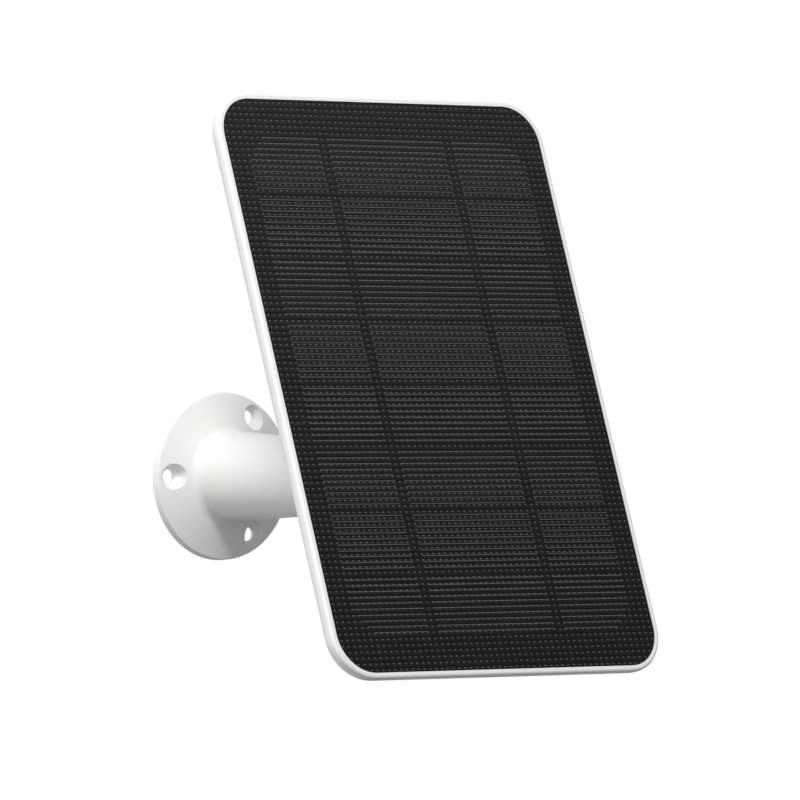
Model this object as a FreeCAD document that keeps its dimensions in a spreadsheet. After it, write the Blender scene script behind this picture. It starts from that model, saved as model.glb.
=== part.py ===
import FreeCAD, Part
import math
import os
import re
import Sketcher

# A small solar charging panel on a round wall bracket.
# Row frame: origin at the centre of the wall flange's back face, +Z up, the wall behind (+Y), the arm
# running out along -Y, +X to the right as seen facing the wall.  Millimetres and degrees.

DIMENSIONS = {
    # Wall bracket: distances out from the wall, radii about the arm's axis.
    "flange_radius": 24.37,
    "flange_thickness": 2.4,
    "flange_crown": 6.0,
    "rim_draft": 0.2,
    "rim_rounding": 0.45,
    "root_fillet": 2.8,
    "arm_root_radius": 13.5,
    "arm_taper": 0.057,
    "arm_wall": 2.6,
    "arm_length": 52.0,
    "end_wall": 5.0,
    # Wall screw holes.
    "wall_hole_circle": 19.5,
    "wall_hole_radius": 2.1,
    "wall_hole_land": 1.0,
    "wall_hole_sink": 1.4,
    "wall_hole_mouth": 3.75,
    # Swivel: a screw on the arm's axis holds the fork against a friction ring.
    "swivel_screw_radius": 2.0,
    "swivel_head_radius": 3.6,
    "swivel_head_height": 2.6,
    "swivel_washer_thick": 0.8,
    "spring_washer_thick": 1.0,
    "spring_washer_split": 0.6,
    "swivel_washer_radius": 5.5,
    "swivel_insert_radius": 3.0,
    "swivel_insert_length": 5.5,
    "ring_inner": 4.0,
    "ring_outer": 8.0,
    "ring_thick": 1.2,
    "ring_recess": 0.6,
    # Fork and tilt bolt, about the tilt pivot.
    "pivot_reach": 73.3,
    "fork_base_radius": 13.6,
    "fork_base_thick": 7.3,
    "fork_rounding": 1.0,
    "ear_radius": 9.0,
    "ear_inner": 5.7,
    "ear_thick": 4.5,
    "bolt_radius": 2.5,
    "bolt_head_flats": 8.0,
    "bolt_head_height": 3.5,
    "tilt_washer_radius": 8.0,
    "tilt_washer_thick": 0.6,
    # Knob.
    "knob_radius": 10.5,
    "knob_height": 10.0,
    "knob_rounding": 1.2,
    "knob_bore": 9.0,
    "bolt_into_knob": 8.5,
    "knob_washer_thick": 1.0,
    "knob_washer_radius": 5.5,
    "knob_insert_radius": 3.8,
    "knob_insert_length": 6.7,
    "grip_radius": 3.2,
    "grip_circle": 12.2,
    # Mount on the panel's back, about the tilt pivot.
    "lean": 19.68,
    "tongue_radius": 8.5,
    "tongue_half": 5.0,
    "plate_width": 44.0,
    "plate_height": 36.0,
    "plate_thick": 4.0,
    "plate_corner": 6.0,
    "plate_rounding": 0.8,
    "mount_screw_x": 16.0,
    "mount_screw_y": 12.0,
    "mount_screw_radius": 1.5,
    "mount_head_radius": 2.8,
    "mount_head_height": 2.4,
    "mount_insert_radius": 2.3,
    "mount_insert_length": 5.3,
    "mount_boss_radius": 4.0,
    "mount_boss_cap": 1.5,
    # Panel: heights are measured from the tilt pivot along the panel's outward normal.
    "centre_rise": 16.24,
    "face_height": 34.0,
    "laminate_width": 115.0,
    "laminate_length": 168.0,
    "laminate_corner": 11.0,
    "frame_border": 1.8,
    "lip_rise": 0.1,
    "rim_depth": 4.4,
    "rim_round": 0.9,
    "shoulder_round": 6.0,
    "shell_depth": 11.1,
    "shell_slope": 58.0,
    "shell_wall": 2.0,
    "shell_back_round": 2.0,
    "seat_gap": 0.15,
    "seat_depth": 3.1,
    "cavity_width": 93.0,
    "cavity_length": 146.0,
    "cavity_corner": 3.0,
    # Laminate layers.
    "adhesive_thick": 0.4,
    "adhesive_inset": 0.2,
    "adhesive_setback": 1.0,
    "backing_thick": 1.2,
    "rear_sheet_thick": 0.6,
    "front_sheet_thick": 0.5,
    "film_thick": 0.3,
    "cell_thick": 0.2,
    "cell_pitch": 18.58,
    "cell_gap": 0.4,
    "cell_count": 8.0,
    "cell_width": 101.4,
    "cell_cut_x": 7.0,
    "cell_cut_y": 8.0,
    "ribbon_offset": 22.8,
    "ribbon_width": 3.6,
    "ribbon_thick": 0.1,
    # Charge regulator behind the laminate, placed from the panel's centre.
    "board_width": 46.0,
    "board_length": 26.0,
    "board_thick": 1.6,
    "board_y": -50.0,
    "board_post": 1.5,
    "board_post_radius": 2.4,
    "board_screw_x": 20.0,
    "board_screw_y": 10.0,
    "board_screw_radius": 1.0,
    "board_head_radius": 1.9,
    "board_head_height": 1.2,
    "pilot_into_wall": 0.8,
    "chip_size": 5.0,
    "chip_height": 1.0,
    "chip_x": -6.0,
    "coil_size": 7.0,
    "coil_height": 2.4,
    "coil_x": 6.0,
    "part_row": 2.5,
    "diode_length": 4.6,
    "diode_width": 2.6,
    "diode_height": 1.8,
    "diode_row": -6.3,
    "capacitor_radius": 2.0,
    "capacitor_height": 2.2,
    "capacitor_x": 14.0,
    "lead_radius": 0.8,
    "cell_lead_x": 12.0,
    "cell_lead_row": 9.0,
    "socket_lead_x": 3.0,
    "socket_lead_y": -57.0,
    "lead_window_width": 12.0,
    "lead_window_low": -60.5,
    "lead_window_high": -54.5,
    # Charging socket in a hooded housing on the back, its mouth facing the panel's lower edge.
    "hood_width": 22.0,
    "hood_top": -48.0,
    "hood_mouth": -72.0,
    "hood_depth": 10.4,
    "hood_corner": 2.5,
    "hood_rounding": 1.0,
    "mouth_width": 16.0,
    "mouth_height": 7.8,
    "mouth_depth": 6.8,
    "mouth_inset": 1.2,
    "mouth_corner": 2.0,
    "mouth_web": 1.2,
    "chamber_width": 17.0,
    "chamber_length": 10.0,
    "chamber_depth": 7.5,
    "socket_width": 9.0,
    "socket_height": 3.26,
    "socket_wall": 0.35,
    "socket_length": 8.0,
    "socket_back": 1.0,
    "socket_board_thick": 1.0,
    "socket_board_margin": 0.3,
    "socket_board_start": 3.0,
    "socket_board_end": 10.8,
    "tongue_width": 6.7,
    "tongue_thick": 0.7,
    "tongue_length": 5.0,
    "seal_border": 1.5,
    "seal_thick": 1.0,
    "seal_corner": 2.0,
    "housing_screw_x": 6.0,
    "housing_screw_y": -51.0,
    "housing_screw_grip": 5.5,
    "housing_bore": 6.0,
    "cover_thick": 1.8,
    "cover_corner": 0.8,
    "cover_gap": 0.2,
    "cover_top_gap": 0.6,
    "cover_lip_width": 14.4,
    "cover_lip_height": 5.7,
    "cover_lip_depth": 1.2,
    "cover_lip_corner": 1.2,
    "cover_lip_drop": 0.2,
    "hinge_radius": 1.1,
    "hinge_drop": 0.6,
    "hinge_pin_radius": 0.6,
    "hinge_half": 8.2,
    "hinge_gap": 0.2,
    "hinge_ear_root": 3.0,
    "knuckle_room": 0.85,
    # Clearances.
    "fit": 0.03,
    "running_fit": 0.08,
    "thread_fit": 0.05,
    "pad_gap": 0.05,
    "swivel_gap": 0.1,
    "screw_clearance": 0.15,
    "loose": 0.25,
    "insert_inset": 0.1,
    "insert_room": 0.5,
    "board_gap": 0.1,
    "round_end_flat": 0.02,
    "cut_past": 1.0,
}

doc = FreeCAD.newDocument("SolarPanel")
sheet = doc.addObject("Spreadsheet::Sheet", "Dim")
for row, (alias, value) in enumerate(DIMENSIONS.items(), 1):
    sheet.set(f"A{row}", alias)
    sheet.set(f"B{row}", str(value))
    sheet.setAlias(f"B{row}", alias)
doc.recompute()

# Derived places, written as expressions of the sheet's dimensions.
ARM_END_RADIUS = "(arm_root_radius - arm_taper*arm_length)"
CORE_END = "(arm_length - end_wall)"
FORK_BACK = "(arm_length + ring_thick - ring_recess + swivel_gap)"
FORK_TOP = f"({FORK_BACK} + fork_base_thick)"
EAR_OUTER = "(ear_inner + ear_thick)"
SHELL_BACK = "(face_height + lip_rise - shell_depth)"
RIM_FRONT = "(face_height + lip_rise)"
RIM_BACK = f"({RIM_FRONT} - rim_depth)"
SEAT = f"({RIM_FRONT} - seat_depth)"
FLOOR = f"({SHELL_BACK} + shell_wall)"
BACKING_TOP = f"({SEAT} + adhesive_thick + backing_thick)"
SHEET_TOP = f"({BACKING_TOP} + rear_sheet_thick)"
FILM_BACK = "(face_height - film_thick)"
FRAME_WIDTH = "(laminate_width + 2*frame_border)"
FRAME_LENGTH = "(laminate_length + 2*frame_border)"
FRAME_CORNER = "(laminate_corner + frame_border)"
BOARD_BACK = f"({FLOOR} + board_post)"
BOARD_FRONT = f"({BOARD_BACK} + board_thick)"
HOOD_BACK = f"({SHELL_BACK} - hood_depth)"
SOCKET_Z = f"({SHELL_BACK} - mouth_inset - mouth_height/2)"
SOCKET_FRONT = "(hood_mouth + mouth_depth)"
HINGE_Y = "(hood_mouth - cover_gap - cover_thick/2)"
HINGE_Z = f"({HOOD_BACK} - hinge_drop)"
HINGE = [(HINGE_Y, HINGE_Z)]
SOCKET_BOARD = f"({SOCKET_Z} + socket_height/2 + board_gap)"
SOCKET_ROUND = "(socket_height/2 - round_end_flat)"
HOUSING_SCREWS = [("-housing_screw_x", "housing_screw_y"), ("housing_screw_x", "housing_screw_y")]

sub_parts = []


def full(expression):
    """Turn a formula in plain dimension names into one that the document's expressions can read."""
    def qualified(match):
        word = match.group()
        return f"Dim.{word}" if word in DIMENSIONS else word
    return re.sub(r"[a-z_]+", qualified, expression)


def value(expression):
    """The number that a formula stands for."""
    return float(sheet.evalExpression(full(expression)))


def new_body(label, frame):
    """A sub-part's body, placed in one of the four frames that the sub-parts are drawn in."""
    body = doc.addObject("PartDesign::Body", label)
    body.Label = label
    body.AllowCompound = True
    axis = FreeCAD.Vector(0, 1, 0) if frame == "axle" else FreeCAD.Vector(1, 0, 0)
    body.Placement = FreeCAD.Placement(FreeCAD.Vector(), FreeCAD.Rotation(axis, 90))
    if frame in ("axle", "pivot"):
        body.setExpression("Placement.Base.y", full("-pivot_reach"))
    if frame in ("pivot", "panel"):
        body.setExpression("Placement.Rotation.Angle", full("90 - lean"))
    if frame == "panel":
        body.setExpression("Placement.Base.y", full("centre_rise*sin(lean) - pivot_reach"))
        body.setExpression("Placement.Base.z", full("centre_rise*cos(lean)"))
    sub_parts.append(body)
    return body


def new_sketch(body, plane="XY", offset="0"):
    """A sketch on one of the body's own planes, moved along that plane's normal."""
    sketch = body.newObject("Sketcher::SketchObject", body.Name + "_sketch")
    support = [item for item in body.Origin.OriginFeatures if item.Role == plane + "_Plane"][0]
    sketch.AttachmentSupport = [(support, "")]
    sketch.MapMode = "FlatFace"
    sketch.setExpression("AttachmentOffset.Base.z", full(offset))
    return sketch


def bind(sketch, constraint, formula):
    """Add a dimension to the sketch and tie it to the sheet."""
    index = sketch.addConstraint(constraint)
    sketch.setExpression(f"Constraints[{index}]", full(formula))


def fix_point(sketch, geometry, point, x, y):
    """Pin one point of the sketch at a place given by two formulas."""
    for kind, axis, formula in (("DistanceX", -2, x), ("DistanceY", -1, y)):
        number = value(formula)
        if abs(number) < 1e-9:
            sketch.addConstraint(Sketcher.Constraint("PointOnObject", geometry, point, axis))
        elif number > 0:
            bind(sketch, Sketcher.Constraint(kind, -1, 1, geometry, point, number), formula)
        else:
            bind(sketch, Sketcher.Constraint(kind, geometry, point, -1, 1, -number), f"-({formula})")


def polygon(sketch, points):
    """A closed outline of straight lines through the given points."""
    corners = [FreeCAD.Vector(value(x), value(y), 0) for x, y in points]
    first = sketch.GeometryCount
    for start, end in zip(corners, corners[1:] + corners[:1]):
        sketch.addGeometry(Part.LineSegment(start, end), False)
    count = len(points)
    for i, (x, y) in enumerate(points):
        sketch.addConstraint(Sketcher.Constraint("Coincident", first + i, 2, first + (i + 1) % count, 1))
        fix_point(sketch, first + i, 1, x, y)
    return sketch


def box_outline(sketch, x0, x1, y0, y1):
    return polygon(sketch, [(x0, y0), (x1, y0), (x1, y1), (x0, y1)])


def hexagon(sketch, flats):
    """A hexagon centred on the sketch's origin, given the distance across its flats."""
    half, corner = f"({flats})/2", f"({flats})/sqrt(3)"
    upper = [(corner, "0"), (f"{corner}/2", half), (f"-{corner}/2", half)]
    lower = [(f"-{corner}", "0"), (f"-{corner}/2", f"-{half}"), (f"{corner}/2", f"-{half}")]
    return polygon(sketch, upper + lower)


def circles(sketch, radius, centres=(("0", "0"),)):
    for x, y in centres:
        place = FreeCAD.Vector(value(x), value(y), 0)
        index = sketch.addGeometry(Part.Circle(place, FreeCAD.Vector(0, 0, 1), value(radius)), False)
        bind(sketch, Sketcher.Constraint("Radius", index, value(radius)), radius)
        fix_point(sketch, index, 3, x, y)
    return sketch


def rounded_box(sketch, width, height, corner, centre_x="0", centre_y="0"):
    """A rectangle with round corners: four sides joined by four tangent arcs."""
    w, h, r = value(width) / 2, value(height) / 2, value(corner)
    centre = FreeCAD.Vector(value(centre_x), value(centre_y), 0)
    first = sketch.GeometryCount
    inner_w, inner_h = w - r, h - r
    ends = [
        ((-inner_w, -h), (inner_w, -h)),
        ((w, -inner_h), (w, inner_h)),
        ((inner_w, h), (-inner_w, h)),
        ((-w, inner_h), (-w, -inner_h))]
    for start, end in ends:
        side = Part.LineSegment(centre + FreeCAD.Vector(*start), centre + FreeCAD.Vector(*end))
        sketch.addGeometry(side, False)
    quarter = math.pi / 2
    middles = [(inner_w, -inner_h), (inner_w, inner_h), (-inner_w, inner_h), (-inner_w, -inner_h)]
    for i, middle in enumerate(middles):
        circle = Part.Circle(centre + FreeCAD.Vector(*middle), FreeCAD.Vector(0, 0, 1), r)
        sketch.addGeometry(Part.ArcOfCircle(circle, (i - 1) * quarter, i * quarter), False)
    for i in range(4):
        sketch.addConstraint(Sketcher.Constraint("Tangent", first + i, 2, first + 4 + i, 1))
        sketch.addConstraint(Sketcher.Constraint("Tangent", first + 4 + i, 2, first + (i + 1) % 4, 1))
        sketch.addConstraint(Sketcher.Constraint("Vertical" if i % 2 else "Horizontal", first + i))
        if i:
            sketch.addConstraint(Sketcher.Constraint("Equal", first + 4, first + 4 + i))
    bind(sketch, Sketcher.Constraint("Radius", first + 4, r), corner)
    sides = [
        ("DistanceY", f"{centre_y} - ({height})/2"),
        ("DistanceX", f"{centre_x} + ({width})/2"),
        ("DistanceY", f"{centre_y} + ({height})/2"),
        ("DistanceX", f"{centre_x} - ({width})/2")]
    for side, (kind, formula) in enumerate(sides):
        number = value(formula)
        if number > 0:
            bind(sketch, Sketcher.Constraint(kind, -1, 1, first + side, 1, number), formula)
        else:
            bind(sketch, Sketcher.Constraint(kind, first + side, 1, -1, 1, -number), f"-({formula})")
    return sketch


def pad(sketch, length, reverse=False):
    """Add material from the sketch, along its normal unless reversed."""
    body = sketch.getParentGeoFeatureGroup()
    feature = body.newObject("PartDesign::Pad", body.Name + "_pad")
    feature.Profile = sketch
    feature.setExpression("Length", full(length))
    feature.Reversed = reverse
    doc.recompute()
    return feature


def pocket(sketch, length, reverse=False):
    """Cut from the sketch against its normal unless reversed, and make sure that it cut something."""
    body = sketch.getParentGeoFeatureGroup()
    before = body.Shape.Volume
    feature = body.newObject("PartDesign::Pocket", body.Name + "_pocket")
    feature.Profile = sketch
    feature.setExpression("Length", full(length))
    feature.Reversed = reverse
    doc.recompute()
    if body.Shape.Volume > before - 1e-6:
        raise RuntimeError(f"{feature.Name} cut nothing")
    return feature


def revolve(sketch, kind="PartDesign::Revolution", axis="V_Axis"):
    body = sketch.getParentGeoFeatureGroup()
    feature = body.newObject(kind, body.Name + "_turn")
    feature.Profile = sketch
    feature.ReferenceAxis = (sketch, [axis])
    feature.Angle = 360
    doc.recompute()
    return feature


def polar_pattern(feature, count):
    """Repeat a cut around the body's own Z axis."""
    body = feature.getParentGeoFeatureGroup()
    pattern = body.newObject("PartDesign::PolarPattern", body.Name + "_pattern")
    pattern.Originals = [feature]
    pattern.Axis = ([item for item in body.Origin.OriginFeatures if item.Role == "Z_Axis"][0], [""])
    pattern.Angle = 360
    pattern.Occurrences = count
    body.Tip = pattern
    doc.recompute()
    return pattern


def edges_where(feature, test):
    """Names of the edges whose bounding box passes the test."""
    found = []
    for index, edge in enumerate(feature.Shape.Edges, 1):
        if test(edge, edge.BoundBox):
            found.append(f"Edge{index}")
    return found


def dress(feature, kind, size_name, size, test):
    """Round (Fillet) or bevel (Chamfer) the edges that pass the test."""
    body = feature.getParentGeoFeatureGroup()
    dressing = body.newObject("PartDesign::" + kind, body.Name + "_" + kind.lower())
    dressing.Base = (feature, edges_where(feature, test))
    dressing.setExpression(size_name, full(size))
    doc.recompute()
    return dressing


def fillet(feature, radius, test):
    return dress(feature, "Fillet", "Radius", radius, test)


def flat_at(level):
    """A test for edges that lie flat at one height of the body's local Z."""
    height = value(level)
    return lambda edge, box: abs(box.ZMin - height) < 0.01 and abs(box.ZMax - height) < 0.01


def upright(edge, box):
    return box.XLength < 0.01 and box.YLength < 0.01


def ring(label, frame, outer, inner, bottom, thick):
    """A plain washer, ring or tube about the frame's local Z."""
    body = new_body(label, frame)
    return pad(circles(circles(new_sketch(body, "XY", bottom), outer), inner), thick)


def block(label, bottom, thick, x0, x1, y0, y1):
    """A rectangular piece in the panel frame."""
    return pad(box_outline(new_sketch(new_body(label, "panel"), "XY", bottom), x0, x1, y0, y1), thick)


def pins(label, frame, radius, bottom, length, centres):
    """Plain round pins or leads, all alike, in one node."""
    return pad(circles(new_sketch(new_body(label, frame), "XY", bottom), radius, centres), length)


def screws(label, frame, centres, head_radius, head_height, seat, radius, length):
    """Screws alike, heads below the seat and shanks running up from it."""
    shanks = pins(label, frame, radius, seat, length, centres)
    body = shanks.getParentGeoFeatureGroup()
    pad(circles(new_sketch(body, "XY", f"{seat} - {head_height}"), head_radius, centres), head_height)
    recess = circles(new_sketch(body, "XY", f"{seat} - {head_height}"), f"0.4*{head_radius}", centres)
    pocket(recess, f"{head_height}/2", reverse=True)


def corners_of(x, y, centre_y="0"):
    return [(f"{sx}*{x}", f"{centre_y} + {sy}*{y}") for sx in (-1, 1) for sy in (-1, 1)]


# --- Wall bracket -----------------------------------------------------------------------------------

def wall_bracket():
    """Coned flange and hollow tapered arm in one moulding, with three countersunk wall screw holes."""
    body = new_body("wall_bracket", "wall")
    outline = polygon(new_sketch(body, "XZ"), [
        ("arm_root_radius - arm_wall", "0"),
        ("flange_radius", "0"),
        ("flange_radius - rim_draft", "flange_thickness"),
        ("arm_root_radius - arm_taper*flange_crown", "flange_crown"),
        (ARM_END_RADIUS, "arm_length"),
        ("ring_outer + fit", "arm_length"),
        ("ring_outer + fit", "arm_length - ring_recess"),
        ("swivel_screw_radius + loose", "arm_length - ring_recess"),
        ("swivel_screw_radius + loose", CORE_END),
        (f"arm_root_radius - arm_wall - arm_taper*{CORE_END}", CORE_END)])
    arm = revolve(outline)
    root = fillet(arm, "root_fillet", flat_at("flange_crown"))
    rim = fillet(root, "rim_rounding", flat_at("flange_thickness"))
    at_end, recess = flat_at("arm_length"), value("ring_outer + 2*fit")
    fillet(rim, "rim_rounding", lambda edge, box: at_end(edge, box) and box.XMax > recess)
    section = new_sketch(body, "XZ")
    clear_above = "2*flange_crown"
    polygon(section, [
        ("-wall_hole_circle", "-cut_past"),
        ("-wall_hole_circle", clear_above),
        ("-wall_hole_circle - wall_hole_mouth", clear_above),
        ("-wall_hole_circle - wall_hole_mouth", "wall_hole_land + wall_hole_sink"),
        ("-wall_hole_circle - wall_hole_radius", "wall_hole_land"),
        ("-wall_hole_circle - wall_hole_radius", "-cut_past")])
    foot = FreeCAD.Vector(value("-wall_hole_circle"), 0, 0)
    tip = foot + FreeCAD.Vector(0, value(clear_above), 0)
    axis = section.addGeometry(Part.LineSegment(foot, tip), True)
    fix_point(section, axis, 1, "-wall_hole_circle", "0")
    fix_point(section, axis, 2, "-wall_hole_circle", clear_above)
    polar_pattern(revolve(section, "PartDesign::Groove", "Axis0"), 3)


def swivel():
    """The screw on the arm's axis, with its washers, the friction ring and the thread insert."""
    ring("friction_ring", "wall", "ring_outer", "ring_inner", "arm_length - ring_recess", "ring_thick")
    washer_back = f"({CORE_END} - swivel_washer_thick - pad_gap)"
    bore = "swivel_screw_radius + fit"
    ring("swivel_washer", "wall", "swivel_washer_radius", bore, washer_back, "swivel_washer_thick")
    head_face = f"({washer_back} - spring_washer_thick)"
    split = ring("spring_washer", "wall", "swivel_head_radius", bore, head_face, "spring_washer_thick")
    gap = new_sketch(split.getParentGeoFeatureGroup(), "XY", head_face)
    box_outline(gap, "-spring_washer_split/2", "spring_washer_split/2", "0", "2*swivel_head_radius")
    pocket(gap, "spring_washer_thick", reverse=True)
    insert_back = f"({FORK_BACK} + insert_inset)"
    ring("swivel_insert", "wall", "swivel_insert_radius", bore, insert_back, "swivel_insert_length")
    body = new_body("swivel_screw", "wall")
    shank_length = f"{insert_back} + swivel_insert_length - {head_face}"
    pad(circles(new_sketch(body, "XY", head_face), "swivel_screw_radius"), shank_length)
    head_back = f"({head_face} - swivel_head_height)"
    pad(circles(new_sketch(body, "XY", head_back), "swivel_head_radius"), "swivel_head_height")
    drive = hexagon(new_sketch(body, "XY", head_back), "1.25*swivel_screw_radius")
    pocket(drive, "0.6*swivel_head_height", reverse=True)


def fork_head():
    """Round base with two ears that straddle the panel mount's tongue."""
    body = new_body("fork_head", "wall")
    base = pad(circles(new_sketch(body, "XY", FORK_BACK), "fork_base_radius"), "fork_base_thick")
    fillet(base, "fork_rounding", flat_at(FORK_BACK))
    for inner_face in ("ear_inner", f"-{EAR_OUTER}"):
        shank = new_sketch(body, "YZ", inner_face)
        box_outline(shank, "-ear_radius", "ear_radius", f"{FORK_TOP} - cut_past", "pivot_reach")
        pad(shank, "ear_thick")
        pad(circles(new_sketch(body, "YZ", inner_face), "ear_radius", [("0", "pivot_reach")]), "ear_thick")
    bolt_hole = new_sketch(body, "YZ", f"-{EAR_OUTER} - cut_past")
    circles(bolt_hole, "bolt_radius + fit", [("0", "pivot_reach")])
    pocket(bolt_hole, f"2*({EAR_OUTER} + cut_past)", reverse=True)
    insert_bore = circles(new_sketch(body, "XY", FORK_BACK), "swivel_insert_radius + fit")
    pocket(insert_bore, "swivel_insert_length + insert_room", reverse=True)


# --- Tilt pivot: pieces on the bolt, drawn along +X ---------------------------------------------------

def tilt_hardware():
    """Hex-head bolt through the fork, the washers beside the tongue and the one under the knob."""
    body = new_body("tilt_bolt", "axle")
    pad(circles(new_sketch(body, "XY", f"-{EAR_OUTER}"), "bolt_radius"), f"2*{EAR_OUTER} + bolt_into_knob")
    head = new_sketch(body, "XY", f"-{EAR_OUTER} - bolt_head_height")
    pad(hexagon(head, "bolt_head_flats"), "bolt_head_height")
    bore = "bolt_radius + running_fit"
    starts = {"left": "-tongue_half - pad_gap - tilt_washer_thick", "right": "tongue_half + pad_gap"}
    for name, start in starts.items():
        ring(f"tilt_washer_{name}", "axle", "tilt_washer_radius", bore, start, "tilt_washer_thick")
    ring("knob_washer", "axle", "knob_washer_radius", "bolt_radius + fit", EAR_OUTER, "knob_washer_thick")


def tilt_knob():
    """Six-lobed clamping knob with a brass thread insert."""
    under = f"({EAR_OUTER} + knob_washer_thick + pad_gap)"
    body = new_body("tilt_knob", "axle")
    disc = pad(circles(new_sketch(body, "XY", under), "knob_radius"), "knob_height")
    fillet(disc, "knob_rounding", flat_at(f"{under} + knob_height"))
    scallop = circles(new_sketch(body, "XY", f"{under} - cut_past"), "grip_radius", [("grip_circle", "0")])
    polar_pattern(pocket(scallop, "knob_height + 2*cut_past", reverse=True), 6)
    insert_bore = circles(new_sketch(body, "XY", under), "knob_insert_radius + fit")
    pocket(insert_bore, "knob_insert_length", reverse=True)
    pocket(circles(new_sketch(body, "XY", under), "bolt_radius + loose"), "knob_bore", reverse=True)
    ring("knob_insert", "axle", "knob_insert_radius", "bolt_radius + thread_fit", under, "knob_insert_length")


def panel_mount():
    """Tongue on the tilt bolt, carrying the plate that is screwed to the panel's back."""
    body = new_body("panel_mount", "pivot")
    plate_back = f"({SHELL_BACK} - plate_thick)"
    outline = rounded_box(new_sketch(body, "XY", plate_back), "plate_width", "plate_height", "plate_corner")
    plate = pad(outline, "plate_thick")
    fillet(plate, "plate_rounding", flat_at(plate_back))
    web = new_sketch(body, "YZ", "-tongue_half")
    pad(box_outline(web, "-tongue_radius", "tongue_radius", "0", f"{plate_back} + cut_past"), "2*tongue_half")
    pad(circles(new_sketch(body, "YZ", "-tongue_half"), "tongue_radius"), "2*tongue_half")
    eye = circles(new_sketch(body, "YZ", "-tongue_half - cut_past"), "bolt_radius + running_fit")
    pocket(eye, "2*(tongue_half + cut_past)", reverse=True)
    places = corners_of("mount_screw_x", "mount_screw_y")
    holes = circles(new_sketch(body, "XY", f"{plate_back} - cut_past"), "mount_screw_radius + fit", places)
    pocket(holes, "plate_thick + 2*cut_past", reverse=True)
    screws("mount_screws", "pivot", places, "mount_head_radius", "mount_head_height", plate_back,
           "mount_screw_radius", "plate_thick + insert_inset + mount_insert_length")
    inserts = new_sketch(new_body("mount_inserts", "pivot"), "XY", f"{SHELL_BACK} + insert_inset")
    circles(inserts, "mount_insert_radius", places)
    pad(circles(inserts, "mount_screw_radius + fit", places), "mount_insert_length")


# --- Panel: drawn flat, centred on the face -----------------------------------------------------------

def back_shell():
    """Moulded tray: thin rim rounding into a sloping back, seat for the laminate, cavity behind it."""
    body = new_body("back_shell", "panel")
    run_in = f"(({RIM_BACK} - {SHELL_BACK})*tan(shell_slope))"
    flat = rounded_box(new_sketch(body, "XY", SHELL_BACK), f"{FRAME_WIDTH} - 2*{run_in}",
                       f"{FRAME_LENGTH} - 2*{run_in}", f"{FRAME_CORNER} - {run_in}")
    shoulder = rounded_box(new_sketch(body, "XY", RIM_BACK), FRAME_WIDTH, FRAME_LENGTH, FRAME_CORNER)
    slope = body.newObject("PartDesign::AdditiveLoft", "back_shell_slope")
    slope.Profile = flat
    slope.Sections = [shoulder]
    slope.Ruled = True
    doc.recompute()
    fillet(slope, "shell_back_round", flat_at(SHELL_BACK))
    wall = rounded_box(new_sketch(body, "XY", RIM_BACK), FRAME_WIDTH, FRAME_LENGTH, FRAME_CORNER)
    rim = fillet(pad(wall, "rim_depth"), "shoulder_round", flat_at(RIM_BACK))
    fillet(rim, "rim_round", flat_at(RIM_FRONT))
    seat = rounded_box(new_sketch(body, "XY", RIM_FRONT), "laminate_width + 2*seat_gap",
                       "laminate_length + 2*seat_gap", "laminate_corner + seat_gap")
    pocket(seat, "seat_depth")
    cavity = rounded_box(new_sketch(body, "XY", SEAT), "cavity_width", "cavity_length", "cavity_corner")
    pocket(cavity, f"{SEAT} - {FLOOR}")
    mount_places = corners_of("mount_screw_x", "mount_screw_y", "-centre_rise")
    bosses = circles(new_sketch(body, "XY", FLOOR), "mount_boss_radius", mount_places)
    pad(bosses, "mount_insert_length - shell_wall + mount_boss_cap")
    bores = circles(new_sketch(body, "XY", SHELL_BACK), "mount_insert_radius + fit", mount_places)
    pocket(bores, "mount_insert_length + insert_room", reverse=True)
    board_places = corners_of("board_screw_x", "board_screw_y", "board_y")
    pad(circles(new_sketch(body, "XY", FLOOR), "board_post_radius", board_places), "board_post")
    pilots = circles(new_sketch(body, "XY", BOARD_BACK), "board_screw_radius + fit", board_places)
    pocket(pilots, "board_post + pilot_into_wall")
    window = new_sketch(body, "XY", SHELL_BACK)
    box_outline(window, "-lead_window_width/2", "lead_window_width/2", "lead_window_low", "lead_window_high")
    pocket(window, "shell_wall", reverse=True)
    screw_holes = new_sketch(body, "XY", SHELL_BACK)
    circles(screw_holes, "board_screw_radius + screw_clearance", HOUSING_SCREWS)
    pocket(screw_holes, "shell_wall", reverse=True)


def sheet_layer(label, bottom, thick):
    """One full-size layer of the laminate."""
    sketch = rounded_box(new_sketch(new_body(label, "panel"), "XY", bottom), "laminate_width",
                         "laminate_length", "laminate_corner")
    return pad(sketch, thick)


def cell_outline(sketch, low, high, cut_low, cut_high):
    """A cell strip across the panel, its corners cut where it ends the group."""
    right = "cell_width/2"
    low_side = [(right, low)]
    if cut_low:
        low_side = [(f"{right} - cell_cut_x", low), (right, f"{low} + cell_cut_y")]
    high_side = [(right, high)]
    if cut_high:
        high_side = [(right, f"{high} - cell_cut_y"), (f"{right} - cell_cut_x", high)]
    right_side = low_side + high_side
    left_side = [(f"-({x})", y) for x, y in reversed(right_side)]
    return polygon(sketch, right_side + left_side)


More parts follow.
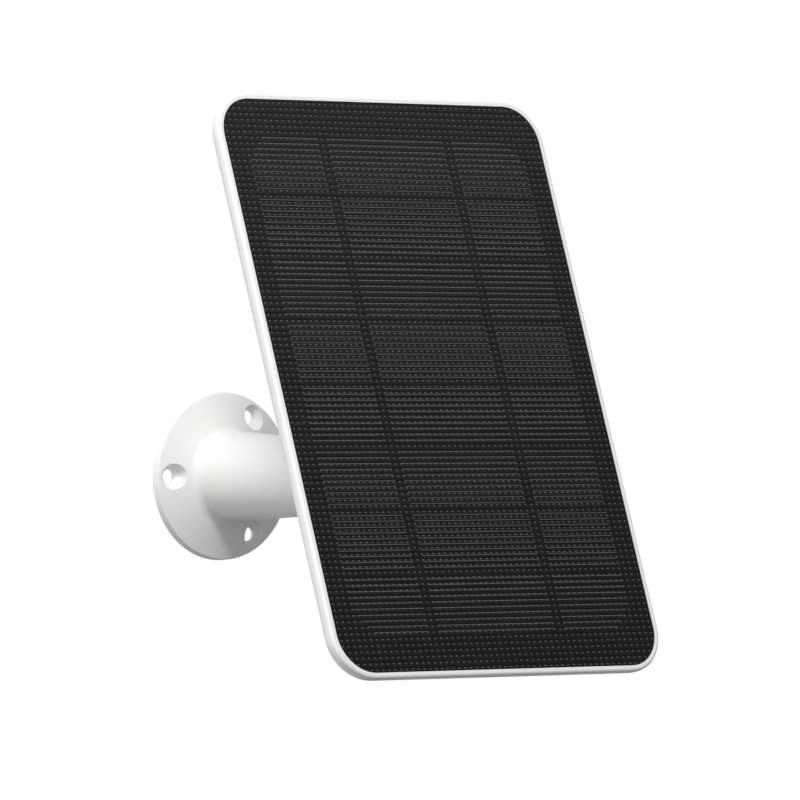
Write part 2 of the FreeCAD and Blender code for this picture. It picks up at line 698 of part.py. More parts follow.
def laminate():
    """Adhesive ring, backing board, rear sheet, cells with their ribbons, front sheet and textured film."""
    adhesive = new_sketch(new_body("laminate_adhesive", "panel"), "XY", SEAT)
    rounded_box(adhesive, "laminate_width - 2*adhesive_inset", "laminate_length - 2*adhesive_inset",
                "laminate_corner - adhesive_inset")
    rounded_box(adhesive, "cavity_width + 2*adhesive_setback", "cavity_length + 2*adhesive_setback",
                "cavity_corner + adhesive_setback")
    pad(adhesive, "adhesive_thick")
    sheet_layer("backing_board", f"{SEAT} + adhesive_thick", "backing_thick")
    rear = sheet_layer("encapsulant_rear", BACKING_TOP, "rear_sheet_thick")
    half_group = "(cell_count*cell_pitch/2)"
    bed = new_sketch(rear.getParentGeoFeatureGroup(), "XY", SHEET_TOP)
    pocket(cell_outline(bed, f"-{half_group}", half_group, True, True), "cell_thick")
    last = int(value("cell_count")) - 1
    for index in range(last + 1):
        low = f"({index}*cell_pitch - {half_group} + cell_gap/2)"
        high = f"({low} + cell_pitch - cell_gap)"
        strip = new_sketch(new_body(f"cell_strip_{index + 1}", "panel"), "XY", f"{SHEET_TOP} - cell_thick")
        pad(cell_outline(strip, low, high, index == 0, index == last), "cell_thick")
    sides = (("left", "-ribbon_offset"), ("right", "ribbon_offset"))
    for name, middle in sides:
        left, right = f"{middle} - ribbon_width/2", f"{middle} + ribbon_width/2"
        block(f"bus_ribbon_{name}", SHEET_TOP, "ribbon_thick", left, right,
              f"-{half_group} + cell_gap", f"{half_group} - cell_gap")
    front = sheet_layer("encapsulant_front", SHEET_TOP, "front_sheet_thick")
    grooves = new_sketch(front.getParentGeoFeatureGroup(), "XY", SHEET_TOP)
    for name, middle in sides:
        left, right = f"{middle} - ribbon_width/2", f"{middle} + ribbon_width/2"
        box_outline(grooves, left, right, f"-{half_group}", half_group)
    pocket(grooves, "ribbon_thick", reverse=True)
    sheet_layer("surface_film", FILM_BACK, "film_thick")


def chip(label, height, length, width, x, row):
    """A boxed part on the regulator board, given its centre across and up from the board's middle."""
    y = f"(board_y + {row})"
    return block(label, BOARD_FRONT, height, f"{x} - {length}/2", f"{x} + {length}/2",
                 f"{y} - {width}/2", f"{y} + {width}/2")


def regulator():
    """Charge regulator board on four posts, its parts, and the leads to the cells and to the socket."""
    board = block("regulator_board", BOARD_BACK, "board_thick", "-board_width/2", "board_width/2",
                  "board_y - board_length/2", "board_y + board_length/2")
    places = corners_of("board_screw_x", "board_screw_y", "board_y")
    holes = new_sketch(board.getParentGeoFeatureGroup(), "XY", BOARD_BACK)
    pocket(circles(holes, "board_screw_radius + fit", places), "board_thick", reverse=True)
    shanks = pins("board_screws", "panel", "board_screw_radius", f"{FLOOR} + board_gap",
                  "board_post - board_gap + board_thick", places)
    heads = new_sketch(shanks.getParentGeoFeatureGroup(), "XY", BOARD_FRONT)
    pad(circles(heads, "board_head_radius", places), "board_head_height")
    chip("regulator_chip", "chip_height", "chip_size", "chip_size", "chip_x", "part_row")
    chip("blocking_diode", "diode_height", "diode_length", "diode_width", "0", "diode_row")
    coil = chip("inductor", "coil_height", "coil_size", "coil_size", "coil_x", "part_row")
    fillet(coil, "coil_size/7", upright)
    pins("capacitors", "panel", "capacitor_radius", BOARD_FRONT, "capacitor_height",
         [("-capacitor_x", "board_y"), ("capacitor_x", "board_y")])
    backing = f"({SEAT} + adhesive_thick)"
    board_side = f"({SOCKET_BOARD} + socket_board_thick)"
    for name, side in (("positive", "-1"), ("negative", "1")):
        pins(f"cell_lead_{name}", "panel", "lead_radius", BOARD_FRONT, f"{backing} - {BOARD_FRONT}",
             [(f"{side}*cell_lead_x", "board_y + cell_lead_row")])
        pins(f"socket_lead_{name}", "panel", "lead_radius", board_side, f"{BOARD_BACK} - {board_side}",
             [(f"{side}*socket_lead_x", "socket_lead_y")])


def port_housing():
    """Hood on the panel's back: open mouth below, chamber for the socket, two ears for the cover's hinge."""
    body = new_body("port_housing", "panel")
    outline = new_sketch(body, "XY", HOOD_BACK)
    box_outline(outline, "-hood_width/2", "hood_width/2", "hood_mouth", "hood_top")
    hood = pad(outline, "hood_depth")
    middle, at_back = value("(hood_mouth + hood_top)/2"), flat_at(HOOD_BACK)
    hood = fillet(hood, "hood_corner", lambda edge, box: upright(edge, box) and box.YMin > middle)
    fillet(hood, "hood_rounding", lambda edge, box: at_back(edge, box) and box.YMax > middle)
    mouth = rounded_box(new_sketch(body, "XZ", "-hood_mouth"), "mouth_width", "mouth_height", "mouth_corner",
                        "0", SOCKET_Z)
    pocket(mouth, "mouth_depth")
    chamber_front = f"({SOCKET_FRONT} + mouth_web)"
    chamber = new_sketch(body, "XY", SHELL_BACK)
    box_outline(chamber, "-chamber_width/2", "chamber_width/2",
                chamber_front, f"{chamber_front} + chamber_length")
    pocket(chamber, "chamber_depth")
    slot = rounded_box(new_sketch(body, "XZ", f"-{SOCKET_FRONT}"), "socket_width + 2*fit",
                       "socket_height + 2*fit", f"{SOCKET_ROUND} + fit", "0", SOCKET_Z)
    pocket(slot, "mouth_web + fit")
    screw_bores = circles(new_sketch(body, "XY", SHELL_BACK), "board_screw_radius + fit", HOUSING_SCREWS)
    pocket(screw_bores, "housing_bore")
    for inner_face in ("hinge_half + hinge_gap", "-hood_width/2"):
        ear = new_sketch(body, "YZ", inner_face)
        box_outline(ear, f"{HINGE_Y} - hinge_radius", "hood_mouth + hinge_ear_root",
                    f"{HINGE_Z} - hinge_radius", f"{HOOD_BACK} + cut_past")
        pad(ear, "hood_width/2 - hinge_half - hinge_gap")
    pin_bore = circles(new_sketch(body, "YZ", "-hood_width/2"), "hinge_pin_radius + fit", HINGE)
    pocket(pin_bore, "hood_width", reverse=True)
    hinge_room = new_sketch(body, "YZ", "-hinge_half - hinge_gap")
    box_outline(hinge_room, "hood_mouth - cut_past", "hood_mouth + knuckle_room",
                f"{HOOD_BACK} - cut_past", f"{HOOD_BACK} + knuckle_room")
    pocket(hinge_room, "2*(hinge_half + hinge_gap)", reverse=True)


def socket():
    """Charging socket on its small board, with a rubber seal behind the mouth's back wall."""
    body = new_body("socket_shell", "panel")
    tube = rounded_box(new_sketch(body, "XZ", f"-{SOCKET_FRONT}"), "socket_width", "socket_height",
                       SOCKET_ROUND, "0", SOCKET_Z)
    pad(tube, "socket_length", reverse=True)
    inside = rounded_box(new_sketch(body, "XZ", f"-{SOCKET_FRONT}"), "socket_width - 2*socket_wall",
                         "socket_height - 2*socket_wall", f"{SOCKET_ROUND} - socket_wall", "0", SOCKET_Z)
    pocket(inside, "socket_length - socket_back")
    socket_end = f"({SOCKET_FRONT} + socket_length - socket_back)"
    tongue = new_sketch(new_body("socket_tongue", "panel"), "XZ", f"-{socket_end}")
    box_outline(tongue, "-tongue_width/2", "tongue_width/2",
                f"{SOCKET_Z} - tongue_thick/2", f"{SOCKET_Z} + tongue_thick/2")
    pad(tongue, "tongue_length")
    seal = new_sketch(new_body("socket_seal", "panel"), "XZ", f"-({SOCKET_FRONT} + mouth_web)")
    rounded_box(seal, "socket_width + 2*seal_border", "socket_height + seal_border",
                "seal_corner", "0", SOCKET_Z)
    rounded_box(seal, "socket_width + 2*fit", "socket_height + 2*fit",
                f"{SOCKET_ROUND} + fit", "0", SOCKET_Z)
    pad(seal, "seal_thick", reverse=True)
    half = "(chamber_width/2 - socket_board_margin)"
    block("socket_board", SOCKET_BOARD, "socket_board_thick", f"-{half}", half,
          f"{SOCKET_FRONT} + socket_board_start", f"{SOCKET_FRONT} + socket_board_end")
    shanks = pins("housing_screws", "panel", "board_screw_radius", f"{SHELL_BACK} - housing_screw_grip",
                  "housing_screw_grip + shell_wall", HOUSING_SCREWS)
    heads = new_sketch(shanks.getParentGeoFeatureGroup(), "XY", FLOOR)
    pad(circles(heads, "board_head_radius", HOUSING_SCREWS), "board_head_height")


def port_cover():
    """Rubber flap over the mouth, with a lip that plugs it, turning on a steel pin."""
    body = new_body("port_cover", "panel")
    face = "(hood_mouth - cover_gap)"
    top = f"({SHELL_BACK} - cover_top_gap)"
    flap = new_sketch(body, "XZ", f"-{face}")
    rounded_box(flap, "2*hinge_half", f"{top} - {HINGE_Z}", "cover_corner", "0", f"({top} + {HINGE_Z})/2")
    pad(flap, "cover_thick")
    lip = rounded_box(new_sketch(body, "XZ", f"-{face}"), "cover_lip_width", "cover_lip_height",
                      "cover_lip_corner", "0", f"{SOCKET_Z} - cover_lip_drop")
    pad(lip, "cover_lip_depth", reverse=True)
    knuckle = circles(new_sketch(body, "YZ", "-hinge_half"), "hinge_radius", HINGE)
    pad(knuckle, "2*hinge_half")
    bore = circles(new_sketch(body, "YZ", "-hinge_half"), "hinge_pin_radius + running_fit", HINGE)
    pocket(bore, "2*hinge_half", reverse=True)
    pin = new_sketch(new_body("cover_pin", "panel"), "YZ", "-hood_width/2")
    pad(circles(pin, "hinge_pin_radius", HINGE), "hood_width")


def export():
    """Check every object and write one file for each sub-part."""
    doc.recompute()
    for item in doc.Objects:
        if "Invalid" in item.State or "Error" in item.State:
            raise RuntimeError(f"{item.Label} failed: {item.State}")
    os.makedirs("parts", exist_ok=True)
    for body in sub_parts:
        if body.Shape.isNull() or not body.Shape.isValid():
            raise RuntimeError(f"{body.Label} has no valid shape")
        body.Shape.exportStep(f"parts/{body.Label}.step")
        print(f"{body.Label:24s} solids {len(body.Shape.Solids)}  volume {body.Shape.Volume:10.1f}")


wall_bracket()
swivel()
fork_head()
tilt_hardware()
tilt_knob()
panel_mount()
back_shell()
laminate()
regulator()
port_housing()
socket()
port_cover()
export()
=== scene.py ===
import math

import bmesh
import bpy
from mathutils import Matrix, Vector


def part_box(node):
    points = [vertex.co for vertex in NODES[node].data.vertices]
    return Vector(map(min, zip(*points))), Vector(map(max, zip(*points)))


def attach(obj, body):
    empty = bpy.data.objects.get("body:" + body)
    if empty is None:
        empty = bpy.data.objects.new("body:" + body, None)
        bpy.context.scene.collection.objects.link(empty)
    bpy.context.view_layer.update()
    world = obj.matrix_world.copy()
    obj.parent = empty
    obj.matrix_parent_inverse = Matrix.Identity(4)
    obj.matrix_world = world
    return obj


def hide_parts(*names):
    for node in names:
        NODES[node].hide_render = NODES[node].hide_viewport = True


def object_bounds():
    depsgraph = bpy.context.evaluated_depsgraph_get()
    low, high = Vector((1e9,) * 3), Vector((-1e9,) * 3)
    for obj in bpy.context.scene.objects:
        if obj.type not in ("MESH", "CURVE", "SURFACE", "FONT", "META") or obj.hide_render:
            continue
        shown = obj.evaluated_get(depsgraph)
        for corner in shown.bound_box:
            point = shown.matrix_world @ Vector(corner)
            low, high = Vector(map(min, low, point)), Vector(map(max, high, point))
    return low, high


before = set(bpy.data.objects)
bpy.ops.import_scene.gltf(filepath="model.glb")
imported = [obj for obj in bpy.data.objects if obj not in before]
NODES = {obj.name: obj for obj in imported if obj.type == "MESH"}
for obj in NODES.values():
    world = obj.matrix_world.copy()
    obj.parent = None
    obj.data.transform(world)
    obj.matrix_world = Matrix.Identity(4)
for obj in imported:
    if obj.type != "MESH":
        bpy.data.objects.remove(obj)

# A small solar charging panel on a round wall bracket.  Metres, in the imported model's own frame:
# +Z up, the wall behind (+Y), +X to the right as seen facing the wall.

MM = 0.001
TINY = 1e-7
CAD_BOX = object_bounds()

# Textured film over the laminate: one shallow cup per dimple, flattened out towards the film's edge.
FILM_CORNER = 11 * MM
FILM_SPECULAR = 0.25
EDGE_FADE = 0.6 * MM
EDGE_MARGIN = 0.05 * MM
DIMPLE_COLUMNS = 55
DIMPLE_ROWS = 96
DIMPLE_WIDTH = 2.087 * MM
DIMPLE_HEIGHT = 1.752 * MM
DIMPLE_DEPTH = 0.17 * MM
DIMPLE_STEPS = 4
DIMPLE_SHIFT = (0.0, -0.14 * MM)

# Silver fingers printed on the cell strips, measured from the middle of the panel.
FINGER_PITCH = 1.69 * MM
FINGER_WIDTH = 0.22 * MM
FINGER_EDGE = (0.3 * FINGER_WIDTH, 0.7 * FINGER_WIDTH)
FINGER_WEAR = (0.6, 1.0)
FINGERS_PER_STRIP = 10
FINGER_SPAN = 100.3 * MM
FINGER_TONE = (0.112, 0.106, 0.1, 1)
STRIP_COUNT = 8
STRIP_GAP = 0.4 * MM
CORNER_CUT = (7.0 * MM, 8.0 * MM)

# Painted highlight: a bright spot painted into the colour in the middle of each dimple, standing in for light
# reflected by the cup; and the dark laminate round it.
GLINT_EDGE = (0.3, 1.5)
# Noise range that dims the painted dimple highlights in random patches.
GLINT_BREAKUP = (0.55, 1.0)
GLINT_WIDTH = 0.85 * MM
GLINT_HEIGHT = 0.36 * MM
GLINT_TONE = (0.13, 0.124, 0.118, 1)
GROUND_DARK = (0.0022, 0.0020, 0.0020, 1)
GROUND_LIGHT = (0.0040, 0.0035, 0.0033, 1)
FACE_ROUGH = (0.27, 0.36)

CAMERA_PLACE = Vector((-1.3848, -1.7518, 0.0220))
CAMERA_AZIMUTH = -39.67
CAMERA_LENS = 346.95
CAMERA_REACH = 20
FLOOR_DROP = 0.16
FLOOR_HALF = 1.6

# Studio: how bright the surround is to each side, the directions it fades between, and two lights.
OBJECT_MIDDLE = (0, -0.07, 0.02)
ROOM = 0.22
LEFT_WALL = 0.5
BACK_WALL = 0.5
CEILING = 0.3
UNDERFOOT = 0.45
LEFT_FADE = (-0.95, -0.2)
BACK_FADE = (0.1, 0.9)
ABOVE_FADE = (0.0, 1.0)
BELOW_FADE = (-0.9, -0.1)
KEY_PLACE = (-0.83, -0.84, 1.15)
KEY_SIZE = (0.38, 0.38)
KEY_POWER = 19.0
CARD_PLACE = (0.42, -0.48, 0.62)
CARD_SIZE = (0.4, 0.4)
CARD_POWER = 0.35


def link(thing):
    bpy.context.scene.collection.objects.link(thing)
    return thing


def lean_frame():
    """The panel's own axes, from the film's mesh: X across, Y up the face, Z out of it, from its middle."""
    mesh = NODES["surface_film"].data
    face = max((p for p in mesh.polygons if p.normal.y < -0.5), key=lambda p: p.area)
    out = face.normal.normalized()
    across = Vector((1, 0, 0))
    up = out.cross(across).normalized()
    spans = []
    for axis in (across, up, out):
        along = [vertex.co.dot(axis) for vertex in mesh.vertices]
        spans.append((min(along), max(along)))
    origin = sum(((low + high) / 2 * axis for (low, high), axis in zip(spans[:2], (across, up))), Vector())
    origin += spans[2][1] * out
    turn = Matrix((across, up, out)).transposed().to_4x4()
    sizes = [high - low for low, high in spans]
    return Matrix.Translation(origin) @ turn, sizes


PANEL, (FILM_WIDTH, FILM_LENGTH, FILM_THICK) = lean_frame()


def width_across(node):
    low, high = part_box(node)
    return high[0] - low[0]


def span_up_panel(*nodes):
    """Lowest and highest place of the nodes up the panel's face, from its middle."""
    up, middle = PANEL.col[1].to_3d(), PANEL.translation
    along = [(vertex.co - middle).dot(up) for node in nodes for vertex in NODES[node].data.vertices]
    return min(along), max(along)


# --- Materials ----------------------------------------------------------------------------------------

class Graph:
    """A node tree being built, with short calls for the nodes that it needs."""

    def __init__(self, tree, space):
        self.nodes = tree.nodes
        self.links = tree.links
        self.place = self.nodes.new("ShaderNodeTexCoord").outputs[space]

    def feed(self, socket, source):
        if isinstance(source, bpy.types.NodeSocket):
            self.links.new(source, socket)
        else:
            socket.default_value = source

    def math(self, operation, first, second=0.0, clamp=False):
        node = self.nodes.new("ShaderNodeMath")
        node.operation = operation
        node.use_clamp = clamp
        self.feed(node.inputs[0], first)
        self.feed(node.inputs[1], second)
        return node.outputs[0]

    def axes(self):
        split = self.nodes.new("ShaderNodeSeparateXYZ")
        self.feed(split.inputs[0], self.place)
        return split.outputs["X"], split.outputs["Y"], split.outputs["Z"]

    def noise(self, scale, detail=3.0, stretch=(1, 1, 1)):
        mapping = self.nodes.new("ShaderNodeMapping")
        mapping.inputs["Scale"].default_value = stretch
        self.feed(mapping.inputs["Vector"], self.place)
        node = self.nodes.new("ShaderNodeTexNoise")
        node.inputs["Scale"].default_value = scale
        node.inputs["Detail"].default_value = detail
        self.feed(node.inputs["Vector"], mapping.outputs[0])
        return node.outputs["Fac"]

    def between(self, factor, low, high, start=0.3, end=0.7):
        """Go from low to high as the factor goes from start to end, as a noise does in its middle range."""
        node = self.nodes.new("ShaderNodeMapRange")
        self.feed(node.inputs["Value"], factor)
        node.inputs["From Min"].default_value = start
        node.inputs["From Max"].default_value = end
        node.inputs["To Min"].default_value = low
        node.inputs["To Max"].default_value = high
        return node.outputs["Result"]

    def blend(self, factor, first, second):
        node = self.nodes.new("ShaderNodeMix")
        node.data_type = "RGBA"
        self.feed(node.inputs["Factor"], factor)
        self.feed(node.inputs["A"], first)
        self.feed(node.inputs["B"], second)
        return node.outputs["Result"]


class Shader(Graph):
    """A node material: a principled surface, and calls for what feeds it."""

    def __init__(self, name, **values):
        self.material = bpy.data.materials.new(name)
        self.material.use_nodes = True
        super().__init__(self.material.node_tree, "Object")
        self.surface = self.nodes["Principled BSDF"]
        for socket, value in values.items():
            self.surface.inputs[socket.replace("_", " ")].default_value = value

    def colour(self, source):
        self.feed(self.surface.inputs["Base Color"], source)

    def roughness(self, source):
        self.feed(self.surface.inputs["Roughness"], source)

    def bump(self, height, distance, strength=1.0):
        node = self.nodes.new("ShaderNodeBump")
        node.inputs["Distance"].default_value = distance
        node.inputs["Strength"].default_value = strength
        self.feed(node.inputs["Height"], height)
        self.feed(self.surface.inputs["Normal"], node.outputs["Normal"])


def tint(level, warmth=0.0):
    return (level, level * (1 - warmth / 2), level * (1 - warmth), 1)


def moulded_plastic(name, level, rough, grain=1400, depth=0.03 * MM, warmth=0.01):
    """Moulded plastic: a fine sparked grain, slow changes of gloss and a trace of dust in the colour."""
    shader = Shader(name)
    dust = shader.noise(35, 4)
    clean, dusty = tint(level, warmth), tint(level * 0.965, warmth * 2)
    shader.colour(shader.blend(shader.between(dust, 0, 1), clean, dusty))
    shader.roughness(shader.between(shader.noise(60, 3), rough - 0.05, rough + 0.06))
    shader.bump(shader.noise(grain, 2), depth, 0.6)
    return shader.material


def rubber(name, level, rough=0.65):
    shader = Shader(name)
    shader.colour(shader.blend(shader.noise(140, 4), tint(level * 0.9), tint(level * 1.1)))
    shader.roughness(shader.between(shader.noise(300, 3), rough - 0.08, rough + 0.1))
    shader.bump(shader.noise(2200, 2), 0.02 * MM, 0.5)
    return shader.material


def turned_metal(name, colour, rough, stretch):
    """Metal with fine turning or drawing marks, stained a little unevenly."""
    shader = Shader(name, Metallic=1.0)
    dull = tuple(channel * 0.72 for channel in colour)
    marks = shader.noise(900, 2, stretch)
    shader.colour(shader.blend(shader.noise(180, 4), (*dull, 1), (*colour, 1)))
    shader.roughness(shader.between(marks, rough - 0.08, rough + 0.12))
    shader.bump(marks, 0.012 * MM, 0.5)
    return shader.material


def smooth_part(name, first, second, rough, scale=500):
    """Small electronic and laminate pieces: two close colours in patches, with an uneven gloss."""
    shader = Shader(name)
    shader.colour(shader.blend(shader.noise(scale, 4), (*first, 1), (*second, 1)))
    shader.roughness(shader.between(shader.noise(scale * 2, 3), rough - 0.06, rough + 0.08))
    shader.bump(shader.noise(scale * 4, 2), 0.01 * MM, 0.4)
    return shader.material


def solar_face():
    """Black cells under the clear dimpled film, with broken silver fingers, two dark ribbons and a painted
    highlight in each dimple.
    """
    low, high = span_up_panel("cell_strip_1", "cell_strip_8")
    strip_pitch = (high - low + STRIP_GAP) / STRIP_COUNT
    shader = Shader("solar_face", Specular_IOR_Level=FILM_SPECULAR)
    x, y, _ = shader.axes()
    across, upward = shader.math("ABSOLUTE", x), shader.math("ABSOLUTE", y)

    def both(first, second):
        return shader.math("MULTIPLY", first, second)

    # Fingers: FINGERS_PER_STRIP lines in the middle of every strip.
    from_low = shader.math("SUBTRACT", y, low - STRIP_GAP / 2)
    in_strip = shader.math("MODULO", from_low, strip_pitch)
    off_middle = shader.math("ABSOLUTE", shader.math("SUBTRACT", in_strip, strip_pitch / 2))
    to_line = shader.math("PINGPONG", shader.math("SUBTRACT", off_middle, FINGER_PITCH / 2), FINGER_PITCH / 2)
    finger = shader.between(to_line, 1.0, 0.0, *FINGER_EDGE)
    finger = both(finger, shader.math("LESS_THAN", off_middle, FINGERS_PER_STRIP * FINGER_PITCH / 2))
    finger = both(finger, shader.math("LESS_THAN", across, FINGER_SPAN / 2))
    finger = both(finger, shader.math("LESS_THAN", upward, high))
    corner_sum = shader.math("ADD", shader.math("DIVIDE", across, CORNER_CUT[0]),
                             shader.math("DIVIDE", upward, CORNER_CUT[1]))
    corner_limit = FINGER_SPAN / 2 / CORNER_CUT[0] + high / CORNER_CUT[1] - 1
    finger = both(finger, shader.math("LESS_THAN", corner_sum, corner_limit))
    ribbon_low, ribbon_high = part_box("bus_ribbon_right")
    ribbon_middle = (ribbon_low[0] + ribbon_high[0]) / 2
    off_ribbon = shader.math("ABSOLUTE", shader.math("SUBTRACT", across, ribbon_middle))
    finger = both(finger, shader.math("GREATER_THAN", off_ribbon, width_across("bus_ribbon_right") / 2))

    # A painted highlight in the middle of each dimple: a brighter base colour standing in for light reflected
    # by the cup.
    web_x = DIMPLE_SHIFT[0] + DIMPLE_WIDTH * (DIMPLE_COLUMNS % 2) / 2
    web_y = DIMPLE_SHIFT[1] + DIMPLE_HEIGHT * (DIMPLE_ROWS % 2) / 2
    column = shader.math("PINGPONG", shader.math("SUBTRACT", x, web_x), DIMPLE_WIDTH / 2)
    line = shader.math("PINGPONG", shader.math("SUBTRACT", y, web_y), DIMPLE_HEIGHT / 2)
    wide = shader.math("SUBTRACT", DIMPLE_WIDTH / 2, column)
    tall = shader.math("SUBTRACT", DIMPLE_HEIGHT / 2, line)
    reach = shader.math("ADD", shader.math("POWER", shader.math("DIVIDE", wide, GLINT_WIDTH / 2), 2.0),
                        shader.math("POWER", shader.math("DIVIDE", tall, GLINT_HEIGHT / 2), 2.0))
    glint = shader.between(reach, 1.0, 0.0, *GLINT_EDGE)
    on_film = shader.math("LESS_THAN", shader.math("ABSOLUTE", x), DIMPLE_WIDTH * DIMPLE_COLUMNS / 2)
    glint = both(both(glint, on_film), shader.between(shader.noise(420, 2), *GLINT_BREAKUP))

    ground = shader.blend(shader.noise(60, 3), GROUND_DARK, GROUND_LIGHT)
    worn = both(finger, shader.between(shader.noise(900, 3), *FINGER_WEAR))
    lined = shader.blend(worn, ground, FINGER_TONE)
    # The painted dimple highlights go over the lined ground in the base colour, not as lighting.
    shader.colour(shader.blend(glint, lined, GLINT_TONE))
    shader.roughness(shader.between(shader.noise(400, 3), *FACE_ROUGH))
    shader.bump(shader.noise(2600, 2), 0.006 * MM, 0.4)
    return shader.material


def coat(node_or_nodes, material):
    """Give CAD nodes a material."""
    names = [node_or_nodes] if isinstance(node_or_nodes, str) else node_or_nodes
    for name in names:
        slots = NODES[name].data.materials
        slots.clear()
        slots.append(material)


def dress_nodes():
    white = moulded_plastic("white_plastic", 0.86, 0.46)
    coat(("wall_bracket", "fork_head", "panel_mount"), white)
    coat(("back_shell", "port_housing"), moulded_plastic("shell_plastic", 0.87, 0.42, grain=1600))
    coat("tilt_knob", moulded_plastic("knob_plastic", 0.82, 0.5, grain=1100, depth=0.05 * MM))
    coat(("friction_ring", "socket_seal"), rubber("dark_rubber", 0.03))
    coat("port_cover", rubber("pale_rubber", 0.74, 0.6))
    zinc = (0.66, 0.67, 0.69)
    coat(("swivel_screw", "tilt_bolt", "cover_pin"), turned_metal("zinc_steel", zinc, 0.3, (0.2, 1, 1)))
    coat(("mount_screws", "board_screws", "housing_screws"),
         turned_metal("screw_steel", zinc, 0.34, (1, 0.3, 1)))
    coat(("swivel_washer", "spring_washer", "knob_washer", "socket_shell"),
         turned_metal("washer_steel", (0.6, 0.6, 0.61), 0.38, (1, 1, 1)))
    coat(("swivel_insert", "mount_inserts", "knob_insert"),
         turned_metal("brass", (0.75, 0.56, 0.27), 0.3, (1, 1, 0.3)))
    coat(("tilt_washer_left", "tilt_washer_right"),
         smooth_part("nylon", (0.74, 0.72, 0.66), (0.68, 0.66, 0.6), 0.5))
    coat("laminate_adhesive", rubber("adhesive", 0.16, 0.5))
    coat("backing_board", smooth_part("glass_fibre", (0.07, 0.08, 0.07), (0.11, 0.12, 0.1), 0.5, 900))
    coat(("encapsulant_rear", "encapsulant_front"),
         smooth_part("resin", (0.02, 0.02, 0.02), (0.03, 0.03, 0.03), 0.2))
    cells = [f"cell_strip_{index}" for index in range(1, 9)]
    coat(cells, smooth_part("silicon", (0.012, 0.013, 0.025), (0.02, 0.021, 0.034), 0.25, 250))
    coat(("bus_ribbon_left", "bus_ribbon_right"),
         smooth_part("ribbon", (0.01, 0.01, 0.01), (0.02, 0.02, 0.02), 0.4))
    coat(("regulator_board", "socket_board"),
         smooth_part("solder_mask", (0.02, 0.13, 0.05), (0.03, 0.18, 0.07), 0.3))
    coat(("regulator_chip", "inductor", "blocking_diode", "socket_tongue", "cell_lead_negative",
          "socket_lead_negative"),
         smooth_part("black_epoxy", (0.02, 0.02, 0.02), (0.04, 0.04, 0.04), 0.5, 1500))
    coat("capacitors", smooth_part("ceramic", (0.45, 0.33, 0.19), (0.52, 0.4, 0.24), 0.45))
    coat(("cell_lead_positive", "socket_lead_positive"),
         smooth_part("red_insulation", (0.5, 0.03, 0.02), (0.42, 0.02, 0.02), 0.35))


# --- Dimpled film ---------------------------------------------------------------------------------------

def side_inset(y):
    """How far the film's straight side is pulled in by its round corner at height y."""
    into_corner = abs(y) - (FILM_LENGTH / 2 - FILM_CORNER)
    if into_corner <= 0:
        return 0.0
    return FILM_CORNER - math.sqrt(max(FILM_CORNER ** 2 - into_corner ** 2, 0.0))


def dimple(place, count, pitch, shift):
    """0 on the web between two dimples and 1 in the middle of one; 0 past the last one."""
    from_start = (place - shift) / pitch + count / 2
    if from_start <= 0 or from_start >= count:
        return 0.0
    return math.sin(math.pi * (from_start % 1)) ** 2


def grid_lines(size, count, pitch, shift):
    """Places across the film: its two edges, and DIMPLE_STEPS steps to each dimple between them."""
    steps = count * DIMPLE_STEPS
    inner = [(index / DIMPLE_STEPS - count / 2) * pitch + shift for index in range(steps + 1)]
    return [-size / 2] + [place for place in inner if abs(place) < size / 2 - EDGE_MARGIN] + [size / 2]


def close_sheet(mesh, depth):
    """Join the sheet's doubled corner points, then give it walls and a flat back at the depth."""
    sheet = bmesh.new()
    sheet.from_mesh(mesh)
    bmesh.ops.remove_doubles(sheet, verts=sheet.verts, dist=TINY)
    loose = [vertex for vertex in sheet.verts if not vertex.link_faces]
    bmesh.ops.delete(sheet, geom=loose, context="VERTS")
    front = sheet.faces[:]
    for face in front:
        face.smooth = True
    grown = bmesh.ops.extrude_face_region(sheet, geom=front, use_keep_orig=True)["geom"]
    for item in grown:
        if isinstance(item, bmesh.types.BMVert):
            item.co.z = depth
    bmesh.ops.recalc_face_normals(sheet, faces=sheet.faces)
    sheet.to_mesh(mesh)
    sheet.free()


def dimpled_film():
    """The clear film as one closed sheet, its front pressed into rows of shallow cups."""
    columns = grid_lines(FILM_WIDTH, DIMPLE_COLUMNS, DIMPLE_WIDTH, DIMPLE_SHIFT[0])
    rows = grid_lines(FILM_LENGTH, DIMPLE_ROWS, DIMPLE_HEIGHT, DIMPLE_SHIFT[1])
    points, faces = [], []
    for y in rows:
        limit = FILM_WIDTH / 2 - side_inset(y)
        for x in columns:
            inside = max(-limit, min(limit, x))
            near_edge = min(1.0, (limit - abs(inside)) / EDGE_FADE)
            cup = dimple(inside, DIMPLE_COLUMNS, DIMPLE_WIDTH, DIMPLE_SHIFT[0])
            cup *= dimple(y, DIMPLE_ROWS, DIMPLE_HEIGHT, DIMPLE_SHIFT[1])
            points.append((inside, y, -DIMPLE_DEPTH * cup * near_edge))
    wide = len(columns)
    for j in range(len(rows) - 1):
        for i in range(wide - 1):
            first = j * wide + i
            corners = (first, first + 1, first + wide + 1, first + wide)
            wide_low = points[first + 1][0] - points[first][0]
            wide_high = points[first + wide + 1][0] - points[first + wide][0]
            if wide_low + wide_high > TINY:
                faces.append(corners)
    mesh = bpy.data.meshes.new("film_dimpled")
    mesh.from_pydata(points, [], faces)
    close_sheet(mesh, -FILM_THICK)
    film = link(bpy.data.objects.new("film_dimpled", mesh))
    film.matrix_world = PANEL
    film.data.materials.append(solar_face())
    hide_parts("surface_film")
    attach(film, "panel")


# --- Stage, light and camera ------------------------------------------------------------------------------

def area_light(name, place, aim, size, power):
    data = bpy.data.lights.new(name, "AREA")
    data.shape = "RECTANGLE"
    data.size, data.size_y = size
    data.energy = power
    lamp = link(bpy.data.objects.new(name, data))
    lamp.location = place
    lamp.rotation_euler = (Vector(aim) - Vector(place)).to_track_quat("-Z", "Y").to_euler()
    lamp.visible_camera = False


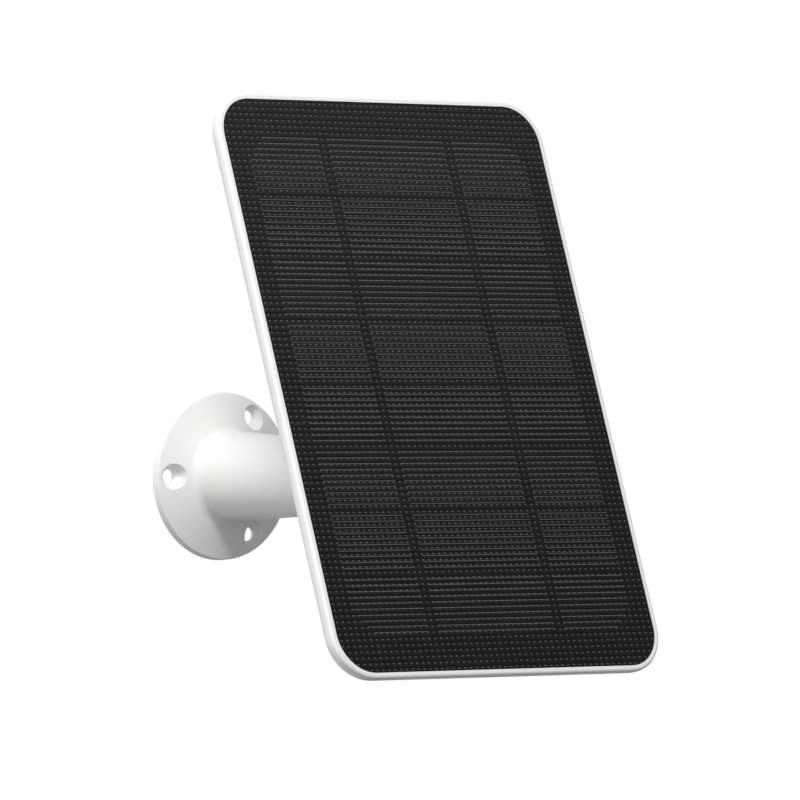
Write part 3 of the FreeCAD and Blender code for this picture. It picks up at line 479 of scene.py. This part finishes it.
def studio():
    """White surround for the camera; for the object, pale walls left and behind, a key light and a card."""
    world = bpy.data.worlds.new("studio")
    world.use_nodes = True
    bpy.context.scene.world = world
    world.node_tree.nodes.clear()
    graph = Graph(world.node_tree, "Generated")
    x, y, z = graph.axes()
    left = graph.between(x, LEFT_WALL, 0.0, *LEFT_FADE)
    behind = graph.between(y, 0.0, BACK_WALL, *BACK_FADE)
    above = graph.between(z, 0.0, CEILING, *ABOVE_FADE)
    below = graph.between(z, UNDERFOOT, 1.0, *BELOW_FADE)
    level = graph.math("ADD", graph.math("ADD", left, behind), graph.math("ADD", above, ROOM))
    surround = graph.nodes.new("ShaderNodeBackground")
    graph.feed(surround.inputs["Strength"], graph.math("MULTIPLY", level, below))
    white = graph.nodes.new("ShaderNodeBackground")
    white.inputs["Color"].default_value = (1, 1, 1, 1)
    surround.inputs["Color"].default_value = (1, 1, 1, 1)
    path = graph.nodes.new("ShaderNodeLightPath")
    either = graph.nodes.new("ShaderNodeMixShader")
    graph.feed(either.inputs["Fac"], path.outputs["Is Camera Ray"])
    graph.feed(either.inputs[1], surround.outputs[0])
    graph.feed(either.inputs[2], white.outputs[0])
    output = graph.nodes.new("ShaderNodeOutputWorld")
    graph.feed(output.inputs["Surface"], either.outputs[0])
    area_light("key", KEY_PLACE, OBJECT_MIDDLE, KEY_SIZE, KEY_POWER)
    area_light("card", CARD_PLACE, OBJECT_MIDDLE, CARD_SIZE, CARD_POWER)
    bpy.context.scene.view_settings.view_transform = "Standard"


def pale_floor():
    level = CAD_BOX[0][2] - FLOOR_DROP
    corners = [(x * FLOOR_HALF, y * FLOOR_HALF, level) for x, y in ((-1, -1), (1, -1), (1, 1), (-1, 1))]
    mesh = bpy.data.meshes.new("floor")
    mesh.from_pydata(corners, [], [(0, 1, 2, 3)])
    floor = link(bpy.data.objects.new("floor", mesh))
    floor.data.materials.append(moulded_plastic("floor_paint", 0.7, 0.7, grain=120, depth=0.1 * MM))
    floor.visible_diffuse = False


def camera():
    data = bpy.data.cameras.new("camera")
    data.lens = CAMERA_LENS
    data.clip_end = CAMERA_REACH
    viewer = link(bpy.data.objects.new("camera", data))
    viewer.location = CAMERA_PLACE
    viewer.rotation_euler = (math.radians(90), 0, math.radians(CAMERA_AZIMUTH))
    bpy.context.scene.camera = viewer


camera()
dress_nodes()
dimpled_film()
pale_floor()
studio()
